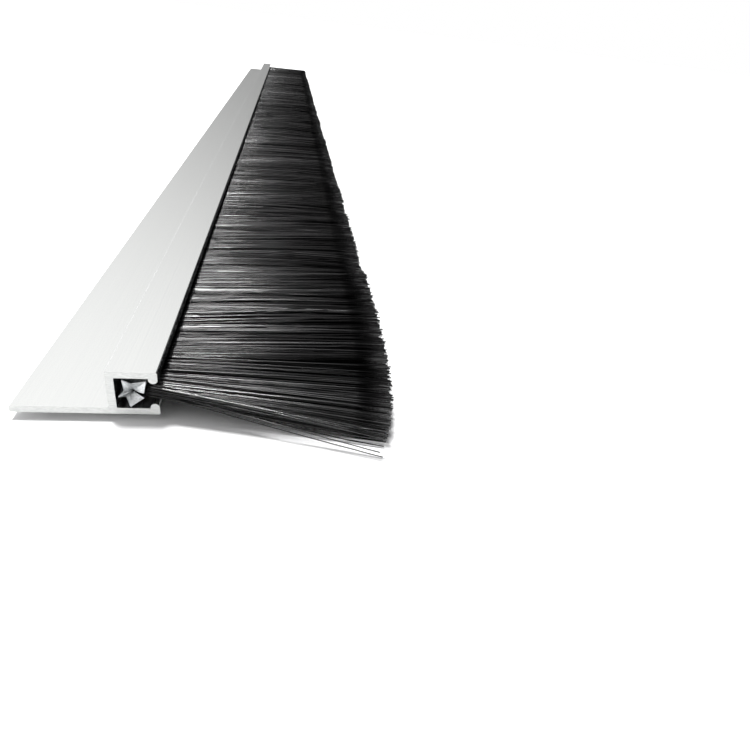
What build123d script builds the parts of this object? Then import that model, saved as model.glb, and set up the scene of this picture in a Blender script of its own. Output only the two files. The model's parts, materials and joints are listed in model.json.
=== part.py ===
"""Brush door sweep: an aluminium holder with a metal-backed strip brush in its channel.

The sweep lies on the flat back that goes against a door. +Z is up from that back, +Y runs
along the sweep, and the bristles point along +X. The origin is the centre of the flat back.
All sizes are in millimetres.
"""
import os
from build123d import *

# Holder: one extrusion, a flange beside a C-shaped channel
LENGTH = 914.0
HOLDER_WIDTH = 30.0
CHANNEL_SIZE = 10.4
WALL = 1.5
BACK_WALL = 1.65
LIP_WIDTH = 1.9
SLOT_HEIGHT = 5.0
EDGE_RADIUS = 0.3

# Strip brush: filaments folded round a wire and clamped in a steel channel
STRIP_DEPTH = 60.0  # from the back of the steel to the bristle tips
STRIP_RECESS = 1.0  # how far the steel stops short of each end of the holder
SEAT_GAP = 0.25  # air behind the steel
STEEL_DEPTH = 6.2
STEEL_HEIGHT = 6.6
STEEL_SHEET = 0.6
STEEL_BEND = 0.9  # bend radius at the middle of the sheet
STEEL_MOUTH = 4.0  # between the middles of the two pinched edges
PINCH_DEPTH = 2.0  # length of the slanted stretch at each pinched edge
FOLD_INSET = 0.4  # how far inside the steel's outline its end folds start
FOLD_DEPTH = 1.4
WIRE_DIAMETER = 1.8
WIRE_SETBACK = 3.0  # how far the wire and the folded filaments stop short of the steel's ends
FIT = 0.05  # air between pieces that lie against each other

# Bristles, in banks that flex one by one
BANK_COUNT = 18
BANK_GAP = 0.4
BANK_ROOT = 4.0  # thickness where the bristles leave the lips
BANK_TIP = 6.6
FLEX_OFFSET = 2.5  # from the lips to the line that the bristles bend about
END_SPLAY = 16.0  # how far the outermost tips lean past the steel's end

# Places that follow from the sizes
LIP_X = HOLDER_WIDTH / 2
CHANNEL_X = LIP_X - CHANNEL_SIZE
MID_Z = CHANNEL_SIZE / 2
STRIP_X = CHANNEL_X + BACK_WALL + SEAT_GAP
MOUTH_X = STRIP_X + STEEL_DEPTH
WIRE_X = STRIP_X + STEEL_SHEET + 1.2 + WIRE_DIAMETER / 2
TIP_X = STRIP_X + STRIP_DEPTH
FLEX_X = LIP_X + FLEX_OFFSET
STRIP_END = LENGTH / 2 - STRIP_RECESS
ROOT_END = STRIP_END - WIRE_SETBACK


def box_face(x_low, z_low, x_high, z_high):
    """A rectangle in the cross-section, given by two corners."""
    centre = Pos((x_low + x_high) / 2, (z_low + z_high) / 2)
    return centre * Rectangle(x_high - x_low, z_high - z_low)


def along(section, y_low, y_high):
    """A cross-section, X across and Z up, extruded from y_low to y_high."""
    plane = Plane(origin=(0, y_low, 0), x_dir=(1, 0, 0), z_dir=(0, -1, 0))
    return extrude(plane * section, amount=y_high - y_low, dir=(0, 1, 0))


def holder_section():
    """Flange and channel, with a round bead along each edge of the channel's slot."""
    flange = box_face(-HOLDER_WIDTH / 2, 0, CHANNEL_X, WALL)
    block = flange + box_face(CHANNEL_X, 0, LIP_X, CHANNEL_SIZE)
    block = fillet(block.vertices(), EDGE_RADIUS)
    lip_inner_x = LIP_X - LIP_WIDTH
    cavity = box_face(CHANNEL_X + BACK_WALL, WALL, lip_inner_x, CHANNEL_SIZE - WALL)
    cavity = fillet(cavity.vertices(), EDGE_RADIUS)
    slot = box_face(lip_inner_x - EDGE_RADIUS, WALL, LIP_X, CHANNEL_SIZE - WALL)
    section = block - cavity - slot
    bead = LIP_WIDTH / 2
    for side in (-1, 1):
        bead_z = MID_Z + side * (SLOT_HEIGHT / 2 + bead)
        section += Pos(LIP_X - bead, bead_z) * Circle(bead)
    return section


def make_holder():
    return along(holder_section(), -LENGTH / 2, LENGTH / 2)


def steel_section():
    """U-shaped sheet, open towards the bristles, with both edges pinched in on them."""
    half = (STEEL_HEIGHT - STEEL_SHEET) / 2
    back_x = STRIP_X + STEEL_SHEET / 2
    bend_x = MOUTH_X - PINCH_DEPTH
    path = FilletPolyline(
        (MOUTH_X, MID_Z + STEEL_MOUTH / 2),
        (bend_x, MID_Z + half),
        (back_x, MID_Z + half),
        (back_x, MID_Z - half),
        (bend_x, MID_Z - half),
        (MOUTH_X, MID_Z - STEEL_MOUTH / 2),
        radius=STEEL_BEND,
    )
    return trace(path, line_width=STEEL_SHEET)


def make_backing():
    """The steel channel, with the sheet at each end folded in to close it."""
    steel = along(steel_section(), -STRIP_END, STRIP_END)
    x_back = STRIP_X + FOLD_INSET
    x_front = MOUTH_X - PINCH_DEPTH
    z_low = MID_Z - STEEL_HEIGHT / 2 + FOLD_INSET
    z_high = MID_Z + STEEL_HEIGHT / 2 - FOLD_INSET
    corners = [(x_front, z_low), (x_back, z_low), (x_back, z_high), (x_front, z_high)]
    for end in (-1, 1):
        rim_y = end * STRIP_END
        middle = ((x_back + x_front) / 2, rim_y - end * FOLD_DEPTH, MID_Z)
        for (xa, za), (xb, zb) in zip(corners, corners[1:]):
            outline = Polyline((xa, rim_y, za), (xb, rim_y, zb), middle, close=True)
            steel += extrude(make_face(outline), amount=STEEL_SHEET, dir=(0, -end, 0))
    return steel


def make_wire():
    """The wire that the filaments are folded round."""
    return along(Pos(WIRE_X, MID_Z) * Circle(WIRE_DIAMETER / 2), -ROOT_END, ROOT_END)


def make_roots():
    """The folded filaments: packed in the steel round the wire, then out between the lips."""
    inset = STEEL_SHEET + FIT
    bend_x = MOUTH_X - PINCH_DEPTH - FIT
    z_low = MID_Z - STEEL_HEIGHT / 2 + inset
    z_high = MID_Z + STEEL_HEIGHT / 2 - inset
    loop = box_face(STRIP_X + inset, z_low, bend_x, z_high)
    loop = fillet(loop.vertices().group_by(Axis.X)[0], STEEL_BEND)
    neck_half = (STEEL_MOUTH - STEEL_SHEET) / 2 - 4 * FIT
    neck = box_face(bend_x - 1, MID_Z - neck_half, LIP_X + 4 * FIT, MID_Z + neck_half)
    wire_hole = Pos(WIRE_X, MID_Z) * Circle(WIRE_DIAMETER / 2 + FIT)
    return along(loop + neck - wire_hole, -ROOT_END, ROOT_END)


def bank_section():
    """A bank of bristles from its end: round at the line it bends about, wider at the tips."""
    root = BANK_ROOT / 2
    tip = BANK_TIP / 2
    outline = Polyline(
        (FLEX_X, MID_Z + root),
        (TIP_X, MID_Z + tip),
        (TIP_X, MID_Z - tip),
        (FLEX_X, MID_Z - root),
        close=True,
    )
    return make_face(outline) + Pos(FLEX_X, MID_Z) * Circle(root)


def make_bank(index):
    """Bank number index from the -Y end. The first and last lean out past the steel."""
    pitch = 2 * STRIP_END / BANK_COUNT
    y_low = -STRIP_END + index * pitch + BANK_GAP / 2
    y_high = y_low + pitch - BANK_GAP
    bank = along(bank_section(), y_low, y_high)
    if index in (0, BANK_COUNT - 1):
        side = -1 if index == 0 else 1
        edge_y = y_low if index == 0 else y_high
        wedge = Polyline(
            (FLEX_X, edge_y), (TIP_X, edge_y), (TIP_X, edge_y + side * END_SPLAY), close=True
        )
        prism = Pos(0, 0, -CHANNEL_SIZE) * extrude(make_face(wedge), amount=3 * CHANNEL_SIZE)
        wide = along(bank_section(), y_low - END_SPLAY, y_high + END_SPLAY)
        bank += wide & prism
    return bank


def main():
    os.makedirs("parts", exist_ok=True)
    pieces = {
        "holder": make_holder(),
        "backing_channel": make_backing(),
        "core_wire": make_wire(),
        "filament_roots": make_roots(),
    }
    for index in range(BANK_COUNT):
        pieces[f"bristle_bank_{index + 1:02d}"] = make_bank(index)
    for name, shape in pieces.items():
        export_step(shape, f"parts/{name}.step")
    print(f"bending line at x {FLEX_X:.2f}, z {MID_Z:.2f}; tips at x {TIP_X:.2f}")


main()
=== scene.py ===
"""Looks of the brush door sweep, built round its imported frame. Everything is in metres."""
import json
import math

import bpy
import numpy as np
from mathutils import Matrix, Vector

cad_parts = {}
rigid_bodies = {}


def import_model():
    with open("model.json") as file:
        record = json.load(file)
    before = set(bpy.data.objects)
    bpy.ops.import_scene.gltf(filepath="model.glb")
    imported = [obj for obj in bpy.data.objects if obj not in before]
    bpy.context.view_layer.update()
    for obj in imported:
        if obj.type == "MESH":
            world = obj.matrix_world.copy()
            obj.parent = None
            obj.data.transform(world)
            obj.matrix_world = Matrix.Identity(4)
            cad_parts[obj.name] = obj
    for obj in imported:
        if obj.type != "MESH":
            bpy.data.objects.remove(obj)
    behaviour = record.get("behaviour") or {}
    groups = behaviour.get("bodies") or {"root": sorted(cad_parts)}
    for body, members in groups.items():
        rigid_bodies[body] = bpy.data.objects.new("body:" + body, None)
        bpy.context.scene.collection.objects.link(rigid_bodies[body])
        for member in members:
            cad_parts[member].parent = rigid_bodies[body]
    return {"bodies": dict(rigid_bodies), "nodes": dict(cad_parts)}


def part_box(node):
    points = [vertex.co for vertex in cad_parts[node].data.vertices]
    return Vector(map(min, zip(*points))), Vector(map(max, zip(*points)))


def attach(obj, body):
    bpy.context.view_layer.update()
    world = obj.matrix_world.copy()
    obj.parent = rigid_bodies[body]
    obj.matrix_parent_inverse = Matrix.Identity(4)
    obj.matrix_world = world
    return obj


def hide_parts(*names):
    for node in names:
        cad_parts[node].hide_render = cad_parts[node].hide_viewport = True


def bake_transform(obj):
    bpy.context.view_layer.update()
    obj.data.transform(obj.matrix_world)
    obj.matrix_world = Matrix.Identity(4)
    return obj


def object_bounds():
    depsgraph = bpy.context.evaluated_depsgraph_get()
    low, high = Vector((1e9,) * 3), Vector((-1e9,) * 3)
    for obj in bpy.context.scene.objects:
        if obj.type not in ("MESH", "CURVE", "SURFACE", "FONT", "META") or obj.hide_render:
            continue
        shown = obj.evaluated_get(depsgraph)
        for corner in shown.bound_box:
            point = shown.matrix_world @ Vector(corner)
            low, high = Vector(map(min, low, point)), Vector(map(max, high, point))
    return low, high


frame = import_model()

MM = 0.001
RNG = np.random.RandomState(20)
cad_low, cad_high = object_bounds()

# Places read from the frame
holder_low, holder_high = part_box("holder")
steel_low, steel_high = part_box("backing_channel")
wire_low, wire_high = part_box("core_wire")
roots_low, roots_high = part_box("filament_roots")
BANKS = sorted(name for name in frame["bodies"] if name.startswith("bank_"))
LIP_X = holder_high.x
NEAR_Y = holder_low.y
MID_Z = (steel_low.z + steel_high.z) / 2
MOUTH_X = steel_high.x
STEEL_END = steel_high.y
TIP_X = max(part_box(f"bristle_{name}")[1].x for name in BANKS)
FLOOR_Z = -1.6 * MM  # the floor is just clear of the lowest filaments


# ---------------------------------------------------------------- nodes
MIX_SOCKETS = {"RGBA": (6, 7, 2), "FLOAT": (2, 3, 0)}  # inputs A and B and the output of a Mix node


class Nodes:
    """A node tree under construction, with short ways to add and join nodes."""

    def __init__(self, tree):
        self.tree = tree

    def add(self, kind, **values):
        """A new node. Values go to its inputs of that name, or else to its settings."""
        node = self.tree.nodes.new(kind)
        for key, value in values.items():
            if key in node.inputs:
                node.inputs[key].default_value = value
            else:
                setattr(node, key, value)
        return node

    def join(self, source, target):
        self.tree.links.new(source, target)

    def xyz(self, vector):
        """The three parts of a vector."""
        node = self.add("ShaderNodeSeparateXYZ")
        self.join(vector, node.inputs["Vector"])
        return node.outputs

    def calculate(self, operation, *sources):
        """A Math node. A source is an output of another node, or a plain number."""
        node = self.add("ShaderNodeMath", operation=operation)
        for index, source in enumerate(sources):
            if isinstance(source, float):
                node.inputs[index].default_value = source
            else:
                self.join(source, node.inputs[index])
        return node.outputs["Value"]

    def spread(self, source, low, high, start=0.0, stop=1.0, kind="LINEAR"):
        """A source that runs from start to stop, mapped onto low to high."""
        node = self.add("ShaderNodeMapRange", interpolation_type=kind)
        places = {"From Min": start, "From Max": stop, "To Min": low, "To Max": high}
        for name, value in places.items():
            node.inputs[name].default_value = value
        self.join(source, node.inputs["Value"])
        return node.outputs["Result"]

    def mix(self, factor, first, second, kind="RGBA"):
        node = self.add("ShaderNodeMix", data_type=kind)
        socket_a, socket_b, result = MIX_SOCKETS[kind]
        self.join(factor, node.inputs["Factor"])
        self.join(first, node.inputs[socket_a])
        self.join(second, node.inputs[socket_b])
        return node.outputs[result]


class Material(Nodes):
    """A material under construction, round its Principled shader."""

    def __init__(self, name):
        self.material = bpy.data.materials.new(name)
        self.material.use_nodes = True
        super().__init__(self.material.node_tree)
        self.shader = self.tree.nodes["Principled BSDF"]

    def set(self, **values):
        """Plain values for the shader's sockets."""
        for key, value in values.items():
            self.shader.inputs[key.replace("_", " ")].default_value = value

    def drive(self, socket, source):
        """Join a source to one of the shader's sockets."""
        self.join(source, self.shader.inputs[socket])

    def stretched(self, scale):
        """Object coordinates scaled by a vector, for streaks."""
        coords = self.add("ShaderNodeTexCoord")
        mapping = self.add("ShaderNodeMapping")
        mapping.inputs["Scale"].default_value = scale
        self.join(coords.outputs["Object"], mapping.inputs["Vector"])
        return mapping.outputs["Vector"]

    def noise(self, scale, detail=4.0, roughness=0.6):
        node = self.add("ShaderNodeTexNoise", Detail=detail, Roughness=roughness, Scale=1.0)
        self.join(self.stretched(scale), node.inputs["Vector"])
        return node.outputs["Fac"]

    def ramp(self, source, low, high, dark, light):
        """Two colours, blended where the source runs from low to high."""
        node = self.add("ShaderNodeValToRGB")
        for element, place, colour in zip(node.color_ramp.elements, (low, high), (dark, light)):
            element.position = place
            element.color = (*colour, 1)
        self.join(source, node.inputs["Fac"])
        return node.outputs["Color"]


# ---------------------------------------------------------------- materials
END_FACING = 0.7  # a face whose normal has more than this along Y is a cut end


def aluminium():
    """Mill-finish aluminium: die lines along the extrusion and saw marks on its cut ends."""
    m = Material("aluminium")
    m.set(Metallic=1.0)
    die = m.noise((2600, 3, 2600), detail=3)  # fine across the extrusion, long along it
    cloud = m.noise((60, 14, 60), detail=3)
    saw = m.noise((900, 900, 5200), detail=4, roughness=0.7)  # the saw left level scratches
    normal = m.xyz(m.add("ShaderNodeTexCoord").outputs["Normal"])
    is_end = m.calculate("GREATER_THAN", m.calculate("ABSOLUTE", normal["Y"]), END_FACING)
    skin = m.mix(
        m.spread(cloud, 0.0, 1.0),
        m.ramp(die, 0.3, 0.7, (0.895, 0.905, 0.895), (0.925, 0.935, 0.92)),
        m.ramp(die, 0.3, 0.7, (0.91, 0.92, 0.91), (0.94, 0.95, 0.935)),
    )
    cut = m.ramp(saw, 0.3, 0.75, (0.59, 0.60, 0.59), (0.81, 0.82, 0.805))
    m.drive("Base Color", m.mix(is_end, skin, cut))
    skin_roughness = m.spread(die, 0.15, 0.20)
    cut_roughness = m.spread(saw, 0.58, 0.74)
    m.drive("Roughness", m.mix(is_end, skin_roughness, cut_roughness, "FLOAT"))
    bump = m.add("ShaderNodeBump", Strength=0.06, Distance=0.06 * MM)
    m.join(m.mix(is_end, die, saw, "FLOAT"), bump.inputs["Height"])
    m.drive("Normal", bump.outputs["Normal"])
    return m.material


def galvanised_steel():
    """Thin zinc-coated sheet, with a faint spangle."""
    m = Material("galvanised_steel")
    m.set(Metallic=1.0)
    spangle = m.add("ShaderNodeTexVoronoi", Scale=1.0, feature="F1")
    m.join(m.stretched((900, 900, 900)), spangle.inputs["Vector"])
    grain = m.noise((2500, 2500, 2500), detail=4)
    m.drive("Base Color", m.ramp(grain, 0.3, 0.7, (0.40, 0.42, 0.43), (0.70, 0.71, 0.71)))
    m.drive("Roughness", m.spread(spangle.outputs["Color"], 0.25, 0.45))
    return m.material


def drawn_wire():
    """Steel wire with the lines that the drawing die leaves along it."""
    m = Material("drawn_wire")
    m.set(Metallic=1.0)
    lines = m.noise((3000, 20, 3000))
    m.drive("Base Color", m.ramp(lines, 0.3, 0.7, (0.42, 0.43, 0.44), (0.66, 0.67, 0.68)))
    m.drive("Roughness", m.spread(lines, 0.25, 0.45))
    return m.material


FILAMENT_BLUE = 1.06  # a filament's black has this much more blue than red or green


def filament(name, shade, roughness, specular):
    """Black nylon. Its values are even, because each strand is far thinner than any grain."""
    m = Material(name)
    m.set(Base_Color=(shade, shade, shade * FILAMENT_BLUE, 1))
    m.set(Roughness=roughness, Specular_IOR_Level=specular)
    return m.material


def paper():
    """The pale floor, with a trace of mottling."""
    m = Material("paper")
    grain = m.noise((40, 40, 40))
    m.drive("Base Color", m.ramp(grain, 0.2, 0.8, (0.83, 0.83, 0.835), (0.86, 0.86, 0.865)))
    m.set(Roughness=0.9, Specular_IOR_Level=0.1)
    return m.material


ALUMINIUM = aluminium()
STEEL = galvanised_steel()
WIRE = drawn_wire()
FILAMENTS = [
    filament("filament_black", 0.0024, 0.19, 0.36),
    filament("filament_satin", 0.0032, 0.23, 0.52),
    filament("filament_gloss", 0.0024, 0.16, 1.0),
    filament("filament_worn", 0.0070, 0.26, 0.9),
]
FILAMENT_SHARES = [0.45, 0.27, 0.18, 0.1]


# ---------------------------------------------------------------- helpers
def paint(node, material):
    """Give a CAD node its material."""
    obj = frame["nodes"][node]
    obj.data.materials.clear()
    obj.data.materials.append(material)


def add_object(name, data):
    obj = bpy.data.objects.new(name, data)
    bpy.context.scene.collection.objects.link(obj)
    return obj


def mesh_object(name, vertices, faces, materials, material_index=None, smooth=True):
    """A mesh object from an (n, 3) array and an (m, 4) array of quads."""
    mesh = bpy.data.meshes.new(name)
    mesh.vertices.add(len(vertices))
    mesh.vertices.foreach_set("co", np.asarray(vertices, dtype=np.float32).ravel())
    mesh.loops.add(faces.size)
    mesh.loops.foreach_set("vertex_index", np.asarray(faces, dtype=np.int32).ravel())
    mesh.polygons.add(len(faces))
    loop_start = np.arange(0, faces.size, faces.shape[1], dtype=np.int32)
    mesh.polygons.foreach_set("loop_start", loop_start)
    for material in materials:
        mesh.materials.append(material)
    if material_index is not None:
        mesh.polygons.foreach_set("material_index", np.asarray(material_index, dtype=np.int32))
    mesh.polygons.foreach_set("use_smooth", np.full(len(faces), smooth))
    mesh.update(calc_edges=True)
    mesh.validate()
    return add_object(name, mesh)


def eased(part):
    """The way from 0 to 1 with a soft start and a soft stop."""
    return part * part * (3 - 2 * part)


def delayed(part, share):
    """The way from 0 to 1 when a share of it comes late."""
    return (1 - share) * part + share * part**2


def unit(vectors):
    return vectors / np.linalg.norm(vectors, axis=-1, keepdims=True)


class SmoothNoise:
    """Smooth random values from -1 to 1 along a line, one series for each layer."""

    MARGIN = 0.1  # the values go on this far past both ends of the sweep

    def __init__(self, step, layers=1):
        self.step = step
        self.start = cad_low.y - self.MARGIN
        count = int((cad_high.y - cad_low.y + 2 * self.MARGIN) / step) + 3
        self.values = RNG.uniform(-1, 1, (layers, count))

    def __call__(self, y, layer=0):
        place = (y - self.start) / self.step
        low = np.floor(place).astype(int)
        part = eased(place - low)
        return self.values[layer, low] * (1 - part) + self.values[layer, low + 1] * part


# ---------------------------------------------------------------- steel channel
STEEL_SHEET = 0.6 * MM
STEEL_BEND = 0.9 * MM  # outer radius of the two corners at the back
MOUTH_LIP = 2.0 * MM  # half height over the lips at the mouth
LIP_SLOPE = 1.8 * MM  # length over which a lip closes in towards the mouth
FLAT_START = 2.2 * MM  # the flat of the upper wall starts this far from the mouth
PLAIN_RINGS = 60  # rings along the plain part of the channel
CRUSH_LENGTH = 5 * MM  # length over which the cut end is crushed
CRUSH_RINGS = 9
CRUSH_EDGE = -0.6 * MM  # the crushed edge bulges this far past the plain end
CRUSH_CENTRE = Vector((9.4 * MM, 0, MID_Z - 0.3 * MM))
CRUSH_JITTER = 0.12  # mm, how far a fold's radius may differ, so that the two ends aren't alike
CRUSH_OVERHANG = 0.2 * MM  # how far a fold may pass the mouth
STAR_INNER = 0.85  # size of the sheet's inner face once folded, as a share of its outer face
STAR_REACH = 3.2 * MM  # folds that reach this far from the centre have no valley

# How the cut end is folded: angle on the plain channel, angle and radius (mm) after crushing
FOLDS = (
    (32, 4, 2.5),
    (50, 44, 4.6),
    (90, 84, 2.7),
    (122, 117, 3.9),
    (165, 150, 1.7),
    (198, 198, 3.2),
    (228, 215, 1.3),
    (268, 262, 3.45),
    (328, 340, 2.7),
)

# The face of the crushed end: size of each ring of the star and its depth (mm)
STAR_RINGS = ((0.97, -0.1), (0.62, 0.25), (0.38, 0.6), (0.14, 1.1))
VALLEY_DEPTH = 1.7  # mm, extra depth of the valleys at the centre
STAR_THICKNESS = 0.25 * MM


def channel_path(inset):
    """Side view of the plain channel from its upper lip round its back: an (n, 2) array."""
    low_x, high_x = steel_low.x + inset, steel_high.x
    half = (steel_high.z - steel_low.z) / 2 - inset
    bend = STEEL_BEND - inset
    lip = np.linspace((high_x, MOUTH_LIP - inset), (high_x - LIP_SLOPE, half), 7)
    flat = np.linspace(high_x - FLAT_START, low_x + bend, 9)
    turn = np.linspace(0, np.pi / 2, 6)[1:]
    corner = (low_x + bend - bend * np.sin(turn), half - bend + bend * np.cos(turn))
    back = np.linspace(half - bend, 0, 5)[1:]
    upper = np.concatenate([
        lip,
        np.stack([flat, np.full_like(flat, half)], axis=1),
        np.stack(corner, axis=1),
        np.stack([np.full_like(back, low_x), back], axis=1),
    ])
    lower = upper[:-1][::-1] * (1, -1)
    path = np.concatenate([upper, lower])
    path[:, 1] += MID_Z
    return path


def crushed_path(path, shrink, jitter):
    """The same path once its end has been folded in like a star."""
    angle = np.degrees(np.arctan2(path[:, 1] - MID_Z, path[:, 0] - CRUSH_CENTRE.x)) % 360
    folds = np.array(FOLDS)
    turned = np.radians(folds[:, 1])
    radius = (folds[:, 2] + jitter) * MM * shrink
    x = CRUSH_CENTRE.x + np.interp(angle, folds[:, 0], radius * np.cos(turned))
    z = CRUSH_CENTRE.z + np.interp(angle, folds[:, 0], radius * np.sin(turned))
    return np.stack([np.minimum(x, MOUTH_X + CRUSH_OVERHANG), z], axis=1)


def crushed_rings(outer, inner, side):
    """One crushed end, from the plain channel to the middle of the star.

    A ring is the path of the outer face, the path of the inner face, and the y of both.
    """
    jitter = RNG.uniform(-CRUSH_JITTER, CRUSH_JITTER, len(FOLDS))
    star = crushed_path(outer, 1, jitter)
    star_inner = crushed_path(outer, STAR_INNER, jitter)
    rings = []
    for inside in np.linspace(CRUSH_LENGTH, CRUSH_EDGE, CRUSH_RINGS):
        part = eased((CRUSH_LENGTH - inside) / (CRUSH_LENGTH - CRUSH_EDGE))
        folding = outer * (1 - part) + star * part
        folding_inner = inner * (1 - part) + star_inner * part
        rings.append((folding, folding_inner, inside, inside))
    from_centre = star - np.array((CRUSH_CENTRE.x, CRUSH_CENTRE.z))
    reach = np.clip(np.linalg.norm(from_centre, axis=1) / STAR_REACH, 0, 1)
    for shrink, depth in STAR_RINGS:
        inside = CRUSH_EDGE + (depth + (1 - shrink) * VALLEY_DEPTH * (1 - reach)) * MM
        smaller = crushed_path(outer, shrink, jitter)
        rings.append((smaller, smaller, inside, inside + STAR_THICKNESS))
    return [(a, b, side * (STEEL_END - c), side * (STEEL_END - d)) for a, b, c, d in rings]


def placed(path, y):
    """A path of the side view set at one y, or at a y for each of its points."""
    return np.stack([path[:, 0], np.broadcast_to(y, len(path)), path[:, 1]], axis=1)


def make_steel():
    """The folded steel channel, crushed where it was cut through at both ends."""
    outer, inner = channel_path(0), channel_path(STEEL_SHEET)
    near_end, far_end = [crushed_rings(outer, inner, side) for side in (-1, 1)]
    plain_end = STEEL_END - 2 * CRUSH_LENGTH
    plain = [(outer, inner, y, y) for y in np.linspace(-plain_end, plain_end, PLAIN_RINGS)]
    rings = near_end[::-1] + plain + far_end
    count = len(outer)
    total = len(rings) * count
    front = [placed(path, y) for path, _, y, _ in rings]
    back = [placed(path, y) for _, path, _, y in rings]
    vertices = np.concatenate(front + back)
    along = np.arange(len(rings) - 1) * count
    around = np.arange(count - 1)
    first = along[:, None] + around[None, :]
    skin = np.stack([first, first + 1, first + count + 1, first + count], axis=2).reshape(-1, 4)
    lining = skin[:, ::-1] + total

    def border(points, step):
        """Faces that join the skin to the lining along one of its borders."""
        return np.stack([points, points + step, points + step + total, points + total], axis=1)

    faces = np.concatenate([
        skin,
        lining,
        border(along, count)[:, ::-1],
        border(along + count - 1, count),
        border(around, 1),
        border(around + (len(rings) - 1) * count, 1)[:, ::-1],
    ])
    piece = mesh_object("steel_channel", vertices, faces, [STEEL], smooth=False)
    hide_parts("backing_channel")
    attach(piece, "strip")


# ---------------------------------------------------------------- bristles
BRISTLES_PER_MM = 30
BRISTLE_RADIUS = 0.15 * MM
SIDES = 4  # faces round a strand
ROOT_X = MOUTH_X - 0.8 * MM  # the bristles start inside the steel's mouth
FREE_LENGTH = TIP_X - ROOT_X
# Places of a strand's rings from root to tip, closer together where the bank bends
RING_PLACES = np.array([0, 0.055, 0.11, 0.17, 0.25, 0.39, 0.54, 0.69, 0.85, 1.0])
MOUTH_HALF = 1.5 * MM  # half height of the brush at the mouth
TIP_HALF = 2.9 * MM  # and at the tips
DROOP = 1.2 * MM  # of every tip
ARCH = 0.6 * MM  # height of the soft bow along each bristle
LATE_LEAN = 0.15  # share of the lean that comes near the tip
LATE_LIFT = 0.55  # share of the lift or droop that comes near the tip
FLOOR_GAP = 0.3 * MM  # the least room between a bristle's centre line and the floor
FLOOR_PILE = 0.5  # mm, bristles that reach the floor lie in a pile this high

# Bristles sway together in broad waves, tufts and locks, and a little by themselves (mm)
BROAD_LEAN, TUFT_LEAN, LOCK_LEAN, OWN_LEAN = 1.9, 1.3, 0.95, 0.3
BROAD_LIFT, TUFT_LIFT, LOCK_LIFT, OWN_LIFT = 1.3, 0.4, 0.34, 0.16
TUFT_LENGTH, OWN_LENGTH = 0.35, 0.3
LENGTH_LIMITS = (-1.6, 0.9)
LONG_SHARE, LONG_EXTRA = 0.01, (0.2, 0.9)  # the few bristles that were trimmed too little
LOOSE_LEANS = ((0.05, 1.6), (0.012, 3.4))  # share of the bristles that are loose, and their lean
LOOSE_LIFT = 0.6
CURL, CURL_UP = 0.3, 0.5  # sideways, and the share of it that goes up or down

# The lean of the whole brush, and the splay at its two ends
COMB_LEAN = 6 * MM  # lean of the tips towards the far end, away from both ends
COMB_REACH = 70 * MM  # the lean grows over this length from each end
END_REACH = 13 * MM  # how far in from each end the bristles splay
SPLAY_POWER, SPLAY_FALL = 1.3, 2.2  # how the splay falls off over that reach
END_LEAN = 8.5 * MM  # lean of the outermost tips
END_LEAN_RANGE = (0.82, 1.04)  # shares of it that the bristles there have
END_DROOP = 3.0 * MM
END_SHORTER = 1.8 * MM
BOW_LOST = 0.9  # share of the bow that the outermost bristles lose
DELAY_LOST = 1.8  # the same for the late lift: above 1, it comes early instead
STRAY_REACH = 3 * MM  # bristles this near the end may break away further
STRAY_LEANS = np.array([0, 2.3, 3.6, 4.9, 7.0, 8.5]) * MM
STRAY_SHARES = [0.76, 0.09, 0.07, 0.05, 0.015, 0.015]
STRAY_DROOP, STRAY_SHORTER = 0.22, 0.12  # as shares of the lean

LAYERS = 5
LOCK_COUNT = 1600  # enough to run past the far end
LOCK_MARGIN = 0.03  # the locks start this far before the near end
LOCK_WIDTH = (0.5, 1.9)  # mm, widths of the locks the bristles gather in
LOCK_PINCH = (0.15, 0.75)  # how far a lock's tips draw together
LOCK_KIND_SHARE = 0.5  # share of the bristles that have their lock's kind of filament


class Locks:
    """Neighbouring bristles gather in locks that lean, lift and narrow together."""

    def __init__(self):
        width = RNG.uniform(*LOCK_WIDTH, LOCK_COUNT) * MM
        self.edges = cad_low.y - LOCK_MARGIN + np.cumsum(width)
        self.centres = self.edges - width / 2
        self.lean = RNG.normal(0, LOCK_LEAN, LOCK_COUNT) * MM
        self.lift = RNG.normal(0, LOCK_LIFT, LOCK_COUNT) * MM
        self.pinch = RNG.uniform(*LOCK_PINCH, LOCK_COUNT)
        self.kind = RNG.choice(len(FILAMENTS), LOCK_COUNT, p=FILAMENT_SHARES)


broad_sway = SmoothNoise(45 * MM)
tuft_sway = SmoothNoise(8 * MM, LAYERS)
tuft_rise = SmoothNoise(7 * MM, LAYERS)
tuft_trim = SmoothNoise(2.5 * MM, LAYERS)
broad_rise = SmoothNoise(16 * MM)
LOCKS = [Locks() for _ in range(LAYERS)]


def gathered(y, layer, field):
    """Value of a lock's field for each bristle."""
    values = np.zeros(len(y))
    for index, locks in enumerate(LOCKS):
        own = layer == index
        lock = np.clip(np.searchsorted(locks.edges, y[own]), 0, len(locks.edges) - 1)
        values[own] = getattr(locks, field)[lock]
    return values


def bristle_kinds(y, layer):
    """The filament of each bristle: its lock's kind, or one of its own."""
    lock_kind = gathered(y, layer, "kind").astype(int)
    own_kind = RNG.choice(len(FILAMENTS), len(y), p=FILAMENT_SHARES)
    return np.where(RNG.uniform(0, 1, len(y)) < LOCK_KIND_SHARE, lock_kind, own_kind)


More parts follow.
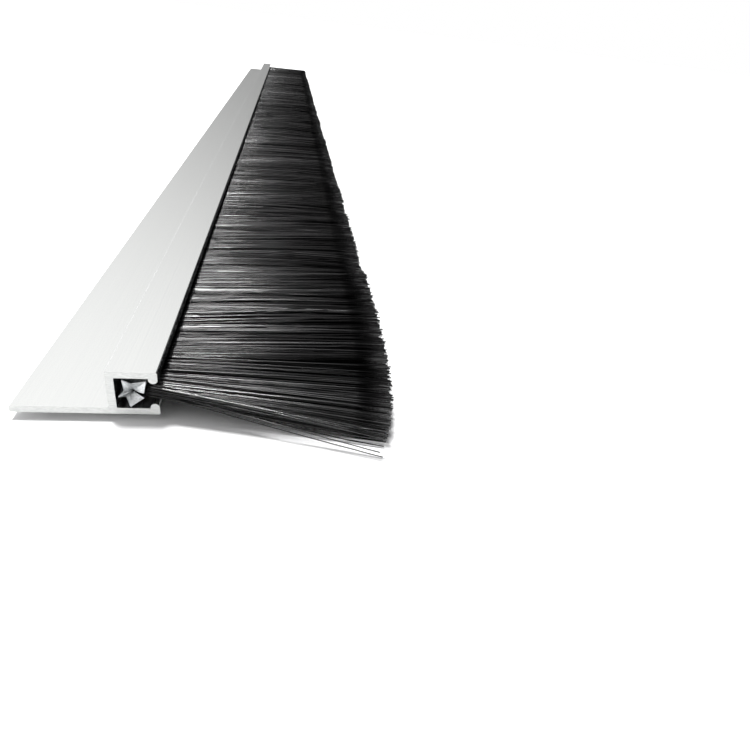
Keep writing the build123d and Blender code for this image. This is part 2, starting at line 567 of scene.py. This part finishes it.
def bristle_paths(y_low, y_high):
    """Centre lines of the bristles rooted between two places, and their filament kinds.

    A bristle's lean is how far its tip goes along the sweep, and its lift how far up.
    """
    count = int(round((y_high - y_low) / MM * BRISTLES_PER_MM))
    y = np.sort(RNG.uniform(y_low, y_high, count))
    level = RNG.uniform(-1, 1, count)  # from the bottom of the mouth to its top
    layer = np.clip(((level + 1) / 2 * LAYERS).astype(int), 0, LAYERS - 1)
    sway = BROAD_LEAN * broad_sway(y) + TUFT_LEAN * tuft_sway(y, layer)
    lean = (sway + RNG.normal(0, OWN_LEAN, count)) * MM
    lean += gathered(y, layer, "lean")
    lean += COMB_LEAN * np.clip((STEEL_END - np.abs(y)) / COMB_REACH, 0, 1)
    lean += (gathered(y, layer, "centres") - y) * gathered(y, layer, "pinch")
    loose = np.zeros(count, dtype=bool)
    for share, reach in LOOSE_LEANS:
        chosen = RNG.uniform(0, 1, count) < share
        lean += chosen * RNG.normal(0, reach, count) * MM
        loose |= chosen
    lift = (TUFT_LIFT * tuft_rise(y, layer) + RNG.normal(0, OWN_LIFT, count)) * MM
    lift += gathered(y, layer, "lift")
    lift += level * (TIP_HALF - MOUTH_HALF) - DROOP + BROAD_LIFT * MM * broad_rise(y)
    lift += loose * np.abs(RNG.normal(0, LOOSE_LIFT, count)) * MM
    uneven = TUFT_LENGTH * tuft_trim(y, layer) + RNG.normal(0, OWN_LENGTH, count)
    uneven += (RNG.uniform(0, 1, count) < LONG_SHARE) * RNG.uniform(*LONG_EXTRA, count)
    length = FREE_LENGTH + np.clip(uneven, *LENGTH_LIMITS) * MM
    straight = np.zeros(count)
    for side in (-1, 1):
        inside = STEEL_END - side * y
        splay = np.exp(-((inside / END_REACH) ** SPLAY_POWER) * SPLAY_FALL)
        straight += np.exp(-((inside / (2 * END_REACH)) ** 2))
        stray = RNG.choice(STRAY_LEANS, count, p=STRAY_SHARES) * (inside < STRAY_REACH)
        lean += side * (END_LEAN * splay * RNG.uniform(*END_LEAN_RANGE, count) + stray)
        lift -= END_DROOP * splay + STRAY_DROOP * stray
        length -= END_SHORTER * splay + STRAY_SHORTER * stray
    curl = RNG.normal(0, CURL, count)[:, None] * MM
    straight = straight[:, None]
    u = RING_PLACES[None, :]
    bow = np.sin(np.pi * u) * (1 - BOW_LOST * straight)
    late_lift = LATE_LIFT * (1 - DELAY_LOST * straight)
    forward = np.sqrt(np.maximum(length**2 - lean**2 - lift**2, 0))
    x = ROOT_X + forward[:, None] * u
    yy = y[:, None] + lean[:, None] * delayed(u, LATE_LEAN) + curl * bow
    z = MID_Z + level[:, None] * MOUTH_HALF + lift[:, None] * delayed(u, late_lift)
    z += (ARCH + CURL_UP * curl[::-1]) * bow  # by another bristle's curl, so not all one way
    lowest = FLOOR_Z + FLOOR_GAP + RNG.uniform(0, FLOOR_PILE, count)[:, None] * MM
    return np.stack([x, yy, np.maximum(z, lowest)], axis=2), bristle_kinds(y, layer)


def strand_mesh(name, paths, kind, radius):
    """Every path as a thin closed tube, in one mesh."""
    count, rings, _ = paths.shape
    run = unit(np.gradient(paths, axis=1))
    start = run[:, :1]
    across = unit(np.stack([-start[:, :, 1], start[:, :, 0], np.zeros((count, 1))], axis=2))
    across = unit(across - run * np.sum(across * run, axis=2, keepdims=True))
    upward = np.cross(run, across)
    turn = RNG.uniform(0, 2 * np.pi, count)[:, None, None]
    corners = []
    for side in range(SIDES):
        angle = turn + 2 * np.pi * side / SIDES
        corners.append(np.cos(angle) * across + np.sin(angle) * upward)
    vertices = paths[:, :, None, :] + np.stack(corners, axis=2) * radius
    ring = np.arange(rings - 1)[:, None] * SIDES
    side = np.arange(SIDES)[None, :]
    after = (side + 1) % SIDES
    tube = np.stack([ring + side, ring + after, ring + SIDES + after, ring + SIDES + side], axis=2)
    root_cap = np.arange(SIDES)[::-1]
    tip_cap = (rings - 1) * SIDES + np.arange(SIDES)
    strand = np.concatenate([tube.reshape(-1, 4), root_cap[None, :], tip_cap[None, :]])
    faces = strand[None, :, :] + (np.arange(count) * rings * SIDES)[:, None, None]
    is_tube = np.arange(len(strand)) < len(strand) - 2  # all but the two cut faces
    return mesh_object(
        name,
        vertices.reshape(-1, 3),
        faces.reshape(-1, 4),
        FILAMENTS,
        np.repeat(kind, len(strand)),
        np.tile(is_tube, count),
    )


def make_bristles():
    """One mesh of bristles for each bank."""
    pitch = 2 * STEEL_END / len(BANKS)
    for index, body in enumerate(BANKS):
        y_low = -STEEL_END + index * pitch
        paths, kind = bristle_paths(y_low, y_low + pitch)
        piece = strand_mesh(f"bristles_{index + 1:02d}", paths, kind, BRISTLE_RADIUS)
        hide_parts(f"bristle_{body}")
        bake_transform(piece)


LOOPS_PER_MM = 4.5
LOOP_RADIUS = 0.2 * MM
LOOP_MARGIN = 0.3 * MM  # the loops stop this far short of the solid's ends
LOOP_MOUTH = 0.35 * MM  # and this far inside the mouth
LOOP_ROOM = (0.02, 0.75)  # mm, a loop's distance from the wire
LOOP_SHIFT, LOOP_SLANT = 0.08, 0.12  # mm, along the sweep
LOOP_CLOSE = 0.25  # how much nearer a loop's two legs are at the mouth
LEG_POINTS, TURN_POINTS = 3, 7


def make_folded_roots():
    """Each filament is folded in half round the core wire, inside the steel channel."""
    count = int((roots_high.y - roots_low.y) / MM * LOOPS_PER_MM)
    y = np.linspace(roots_low.y + LOOP_MARGIN, roots_high.y - LOOP_MARGIN, count)
    y += RNG.normal(0, LOOP_SHIFT, count) * MM
    wire_x = (wire_low.x + wire_high.x) / 2
    wire_radius = (wire_high.x - wire_low.x) / 2
    bend = (wire_radius + LOOP_RADIUS + RNG.uniform(*LOOP_ROOM, count) * MM)[:, None]
    front = MOUTH_X - LOOP_MOUTH - wire_x
    leg = np.linspace(front, 0, LEG_POINTS + 1)[:-1]
    turn = np.linspace(np.pi / 2, 3 * np.pi / 2, TURN_POINTS)
    along = np.concatenate([leg, np.zeros(TURN_POINTS), leg[::-1]])
    around = np.concatenate([np.full(LEG_POINTS, turn[0]), turn, np.full(LEG_POINTS, turn[-1])])
    along, around = along[None, :], around[None, :]
    x = wire_x + along + np.cos(around) * bend
    z = MID_Z + np.sin(around) * bend * (1 - LOOP_CLOSE * (along / front) ** 2)
    yy = y[:, None] + RNG.normal(0, LOOP_SLANT, count)[:, None] * MM * np.cos(around)
    kind = RNG.choice(len(FILAMENTS), count, p=FILAMENT_SHARES)
    piece = strand_mesh("folded_roots", np.stack([x, yy, z], axis=2), kind, LOOP_RADIUS)
    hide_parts("filament_roots")
    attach(piece, "strip")


# ---------------------------------------------------------------- surroundings
FLOOR_HALF = 30.0  # half the width of the floor

# Towards each light, with its power and its width in degrees
KEY_DIRECTION, KEY_POWER, KEY_WIDTH = (-0.17, 0.27, 0.94), 4.9, 15
FILL_DIRECTION, FILL_POWER, FILL_WIDTH = (-0.55, -0.45, 0.70), 1.0, 80

# The sky runs from one value to another between two places
SKY_DIRECTION = Vector((-0.45, 0.54, 0.71)).normalized()  # towards its brightest part
SKY_BEHIND = (0.10, 0.96, 0.47, 0.97)  # by nearness to that direction
SKY_RIGHT = (1.0, 0.15, -0.01, 0.19)  # by X: how much of it is left towards the right
SKY_SIDES = (0.0, 0.40, 0.52, 0.85)  # by distance to the left or right
SKY_HEIGHT = (1.0, 0.0, 0.38, 0.60)  # by Z: how much of the sides is left higher up

CAMERA_YAW, CAMERA_PITCH, CAMERA_ROLL = 0.191, 0.533, 0.128
CAMERA_PLACE = Vector((LIP_X + 24.7 * MM, NEAR_Y - 108.1 * MM, 76.5 * MM))
CAMERA_LENS = 28.1
CAMERA_SENSOR = 36.0
CAMERA_CLIP = (0.005, 100.0)


def make_floor():
    """A plain floor, wide enough to fill every view."""
    mesh = bpy.data.meshes.new("floor")
    outline = [(-1, -1), (1, -1), (1, 1), (-1, 1)]
    corners = [(x * FLOOR_HALF, y * FLOOR_HALF, FLOOR_Z) for x, y in outline]
    mesh.from_pydata(corners, [], [(0, 1, 2, 3)])
    mesh.materials.append(paper())
    floor = add_object("floor", mesh)


def make_sky():
    """A white room, dim but for two parts.

    It is brightest high up behind the sweep, which fades away towards the right, and it is pale
    low down to the left and right. The camera itself sees plain white.
    """
    world = bpy.data.worlds.new("studio")
    world.use_nodes = True
    n = Nodes(world.node_tree)
    direction = n.add("ShaderNodeTexCoord").outputs["Generated"]
    nearness = n.add("ShaderNodeVectorMath", operation="DOT_PRODUCT")
    nearness.inputs[1].default_value = SKY_DIRECTION
    n.join(direction, nearness.inputs[0])
    place = n.xyz(direction)
    sideways = n.calculate("ABSOLUTE", place["X"])
    behind = n.spread(nearness.outputs["Value"], *SKY_BEHIND, "SMOOTHSTEP")
    right = n.spread(place["X"], *SKY_RIGHT, "SMOOTHSTEP")
    sides = n.spread(sideways, *SKY_SIDES, "SMOOTHSTEP")
    height = n.spread(place["Z"], *SKY_HEIGHT, "SMOOTHSTEP")
    high_part = n.calculate("MULTIPLY", behind, right)
    low_part = n.calculate("MULTIPLY", sides, height)
    seen = n.add("ShaderNodeMix", B=1.0)
    n.join(n.add("ShaderNodeLightPath").outputs["Is Camera Ray"], seen.inputs["Factor"])
    n.join(n.calculate("MAXIMUM", high_part, low_part), seen.inputs["A"])
    background = n.tree.nodes["Background"]
    background.inputs["Color"].default_value = (1, 1, 1, 1)
    n.join(seen.outputs["Result"], background.inputs["Strength"])
    bpy.context.scene.world = world


def sun(name, direction, power, width):
    """A far lamp that stands in a direction, as wide as that many degrees."""
    light = bpy.data.lights.new(name, "SUN")
    light.energy = power
    light.angle = math.radians(width)
    obj = add_object(name, light)
    obj.rotation_euler = Vector(direction).to_track_quat("Z", "Y").to_euler()


def make_light():
    """The room, a narrow main lamp behind the sweep and a very wide one to its left."""
    make_sky()
    sun("key", KEY_DIRECTION, KEY_POWER, KEY_WIDTH)
    sun("fill", FILL_DIRECTION, FILL_POWER, FILL_WIDTH)
    bpy.context.scene.view_settings.view_transform = "Standard"


def make_camera():
    """Low over the near cut end, looking along the sweep and turned a little to the right."""
    sin_yaw, cos_yaw = math.sin(CAMERA_YAW), math.cos(CAMERA_YAW)
    sin_pitch, cos_pitch = math.sin(CAMERA_PITCH), math.cos(CAMERA_PITCH)
    sin_roll, cos_roll = math.sin(CAMERA_ROLL), math.cos(CAMERA_ROLL)
    forward = Vector((sin_yaw * cos_pitch, cos_yaw * cos_pitch, -sin_pitch))
    level = Vector((cos_yaw, -sin_yaw, 0))
    upward = level.cross(forward)
    right = cos_roll * level + sin_roll * upward
    up = cos_roll * upward - sin_roll * level
    camera = bpy.data.cameras.new("camera")
    camera.sensor_width = CAMERA_SENSOR
    camera.lens = CAMERA_LENS
    camera.clip_start, camera.clip_end = CAMERA_CLIP
    obj = add_object("camera", camera)
    axes = Matrix((right, up, -forward)).transposed().to_4x4()
    obj.matrix_world = Matrix.Translation(CAMERA_PLACE) @ axes
    bpy.context.scene.camera = obj


paint("holder", ALUMINIUM)
paint("core_wire", WIRE)
make_steel()
make_folded_roots()
make_bristles()
make_floor()
make_light()
make_camera()
